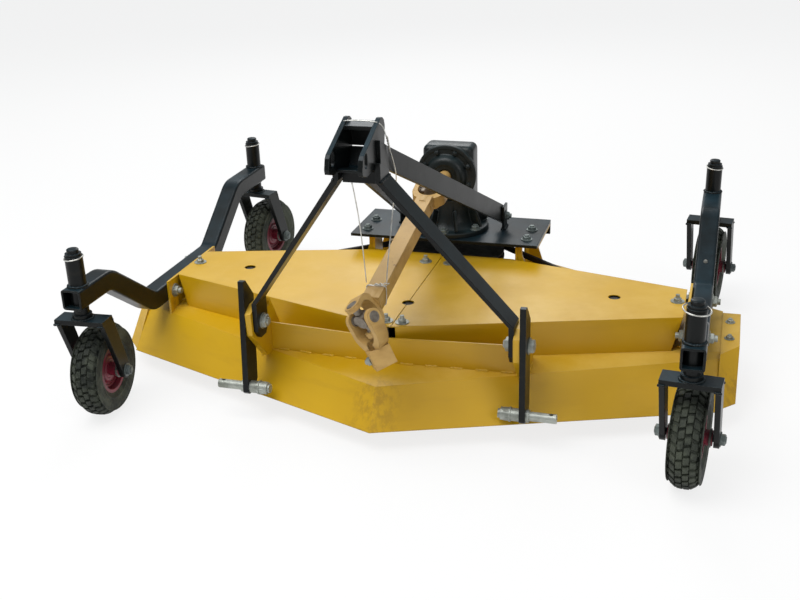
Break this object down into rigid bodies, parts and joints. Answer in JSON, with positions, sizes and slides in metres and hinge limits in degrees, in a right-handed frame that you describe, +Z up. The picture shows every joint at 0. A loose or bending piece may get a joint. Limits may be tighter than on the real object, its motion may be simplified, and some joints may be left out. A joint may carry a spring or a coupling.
{
  "type": "slasher mower",
  "caption": "Rear-mounted slasher mower: folded deck on four caster wheels, belt-driven blades, gearbox, mast, lower links and driveline hanging at the front.",
  "frame": {"origin": "on the floor under the middle of the machine's footprint", "axes": "+Z up, -Y towards the tractor hitch, +X to the right seen from the hitch, looking to the back"},
  "size_m": [1.594, 1.264, 0.771],
  "materials": {
    "bare_steel": "matte",
    "belt": "matte",
    "cast_iron": "matte",
    "deck_paint": "gloss",
    "driveline_paint": "satin",
    "frame_paint": "satin",
    "rim_paint": "satin",
    "tyre": "matte",
    "zinc": "satin"
  },
  "bodies": {
    "mower": {"deck_shell": "deck_paint", "front_wall": "deck_paint", "gearbox_plate": "frame_paint", "gearbox_housing": "frame_paint", "mast_head": "frame_paint", "drive_belt": "belt", "cover_studs": "zinc", "input_yoke": "driveline_paint", "rear_cross": "bare_steel", "drive_tube": "driveline_paint", "deck_end_skirt_left": "deck_paint", "deck_end_skirt_right": "deck_paint", "hitch_bracket_left": "deck_paint", "hitch_bracket_right": "deck_paint", "belt_cover_left": "deck_paint", "belt_cover_right": "deck_paint", "arm_mount_left": "frame_paint", "arm_mount_right": "frame_paint", "caster_arm_left": "frame_paint", "caster_arm_right": "frame_paint", "gearbox_stand_left": "deck_paint", "gearbox_stand_right": "deck_paint", "mast_leg_left": "frame_paint", "mast_leg_right": "frame_paint", "mast_brace_left": "frame_paint", "mast_brace_right": "frame_paint", "pivot_bolt_left": "zinc", "pivot_bolt_right": "zinc", "spindle_housing_left": "cast_iron", "spindle_housing_centre": "cast_iron", "spindle_housing_right": "cast_iron"},
    "caster_front_left": {"caster_fork_front_left": "frame_paint"},
    "wheel_front_left": {"wheel_rim_front_left": "rim_paint", "tyre_front_left": "tyre"},
    "caster_front_right": {"caster_fork_front_right": "frame_paint"},
    "wheel_front_right": {"wheel_rim_front_right": "rim_paint", "tyre_front_right": "tyre"},
    "caster_rear_left": {"caster_fork_rear_left": "frame_paint"},
    "wheel_rear_left": {"wheel_rim_rear_left": "rim_paint", "tyre_rear_left": "tyre"},
    "caster_rear_right": {"caster_fork_rear_right": "frame_paint"},
    "wheel_rear_right": {"wheel_rim_rear_right": "rim_paint", "tyre_rear_right": "tyre"},
    "drive_pulley": {"drive_pulley": "cast_iron"},
    "rotor_left": {"spindle_left": "cast_iron", "blade_left": "bare_steel"},
    "rotor_centre": {"spindle_centre": "cast_iron", "blade_centre": "bare_steel"},
    "rotor_right": {"spindle_right": "cast_iron", "blade_right": "bare_steel"},
    "lower_link_left": {"lower_link_left": "frame_paint", "hitch_pin_left": "zinc"},
    "lower_link_right": {"lower_link_right": "frame_paint", "hitch_pin_right": "zinc"},
    "front_cross": {"front_cross": "bare_steel"},
    "tractor_yoke": {"tractor_yoke": "driveline_paint"}
  },
  "joints": [
    {"name": "swivel_front_left", "type": "hinge", "parent": "mower", "child": "caster_front_left", "pos_m": [-0.699, -0.56504, 0.278], "axis": [0, 0, 1], "continuous": true},
    {"name": "spin_front_left", "type": "hinge", "parent": "caster_front_left", "child": "wheel_front_left", "pos_m": [-0.70319, -0.50519, 0.116], "axis": [0.9976, 0.0698, 0], "continuous": true},
    {"name": "swivel_front_right", "type": "hinge", "parent": "mower", "child": "caster_front_right", "pos_m": [0.699, -0.56504, 0.278], "axis": [0, 0, 1], "continuous": true},
    {"name": "spin_front_right", "type": "hinge", "parent": "caster_front_right", "child": "wheel_front_right", "pos_m": [0.70423, -0.50527, 0.116], "axis": [0.9962, -0.0872, 0], "continuous": true},
    {"name": "swivel_rear_left", "type": "hinge", "parent": "mower", "child": "caster_rear_left", "pos_m": [-0.699, 0.45596, 0.278], "axis": [0, 0, 1], "continuous": true},
    {"name": "spin_rear_left", "type": "hinge", "parent": "caster_rear_left", "child": "wheel_rear_left", "pos_m": [-0.69065, 0.51538, 0.116], "axis": [0.9903, -0.1392, 0], "continuous": true},
    {"name": "swivel_rear_right", "type": "hinge", "parent": "mower", "child": "caster_rear_right", "pos_m": [0.699, 0.45596, 0.278], "axis": [0, 0, 1], "continuous": true},
    {"name": "spin_rear_right", "type": "hinge", "parent": "caster_rear_right", "child": "wheel_rear_right", "pos_m": [0.70527, 0.51563, 0.116], "axis": [0.9945, -0.1045, 0], "continuous": true},
    {"name": "spin_drive_pulley", "type": "hinge", "parent": "mower", "child": "drive_pulley", "pos_m": [0, 0.22496, 0.211], "axis": [0, 0, 1], "continuous": true},
    {"name": "spin_rotor_left", "type": "hinge", "parent": "mower", "child": "rotor_left", "pos_m": [-0.491, -0.07004, 0.06], "axis": [0, 0, 1], "continuous": true},
    {"name": "spin_rotor_centre", "type": "hinge", "parent": "mower", "child": "rotor_centre", "pos_m": [0, -0.21404, 0.06], "axis": [0, 0, 1], "continuous": true},
    {"name": "spin_rotor_right", "type": "hinge", "parent": "mower", "child": "rotor_right", "pos_m": [0.491, -0.07004, 0.06], "axis": [0, 0, 1], "continuous": true},
    {"name": "swing_lower_link_left", "type": "hinge", "parent": "mower", "child": "lower_link_left", "pos_m": [-0.328, -0.42304, 0.2476], "axis": [1, 0, 0], "range_deg": [-55, 8]},
    {"name": "swing_lower_link_right", "type": "hinge", "parent": "mower", "child": "lower_link_right", "pos_m": [0.328, -0.42304, 0.2476], "axis": [1, 0, 0], "range_deg": [-60, 3]},
    {"name": "swing_front_cross", "type": "hinge", "parent": "mower", "child": "front_cross", "pos_m": [0, -0.55286, 0.33598], "axis": [0.5592, 0.161, -0.8132], "range_deg": [-47, 3]},
    {"name": "swing_tractor_yoke", "type": "hinge", "parent": "front_cross", "child": "tractor_yoke", "pos_m": [0, -0.55286, 0.33598], "axis": [0.7687, -0.4682, 0.4358], "range_deg": [-149, 3]}
  ],
  "couplings": [
    {"joint": "spin_rotor_left", "follows": "spin_drive_pulley", "ratio": 2.4194},
    {"joint": "spin_rotor_centre", "follows": "spin_drive_pulley", "ratio": 2.4194},
    {"joint": "spin_rotor_right", "follows": "spin_drive_pulley", "ratio": 2.4194}
  ]
}
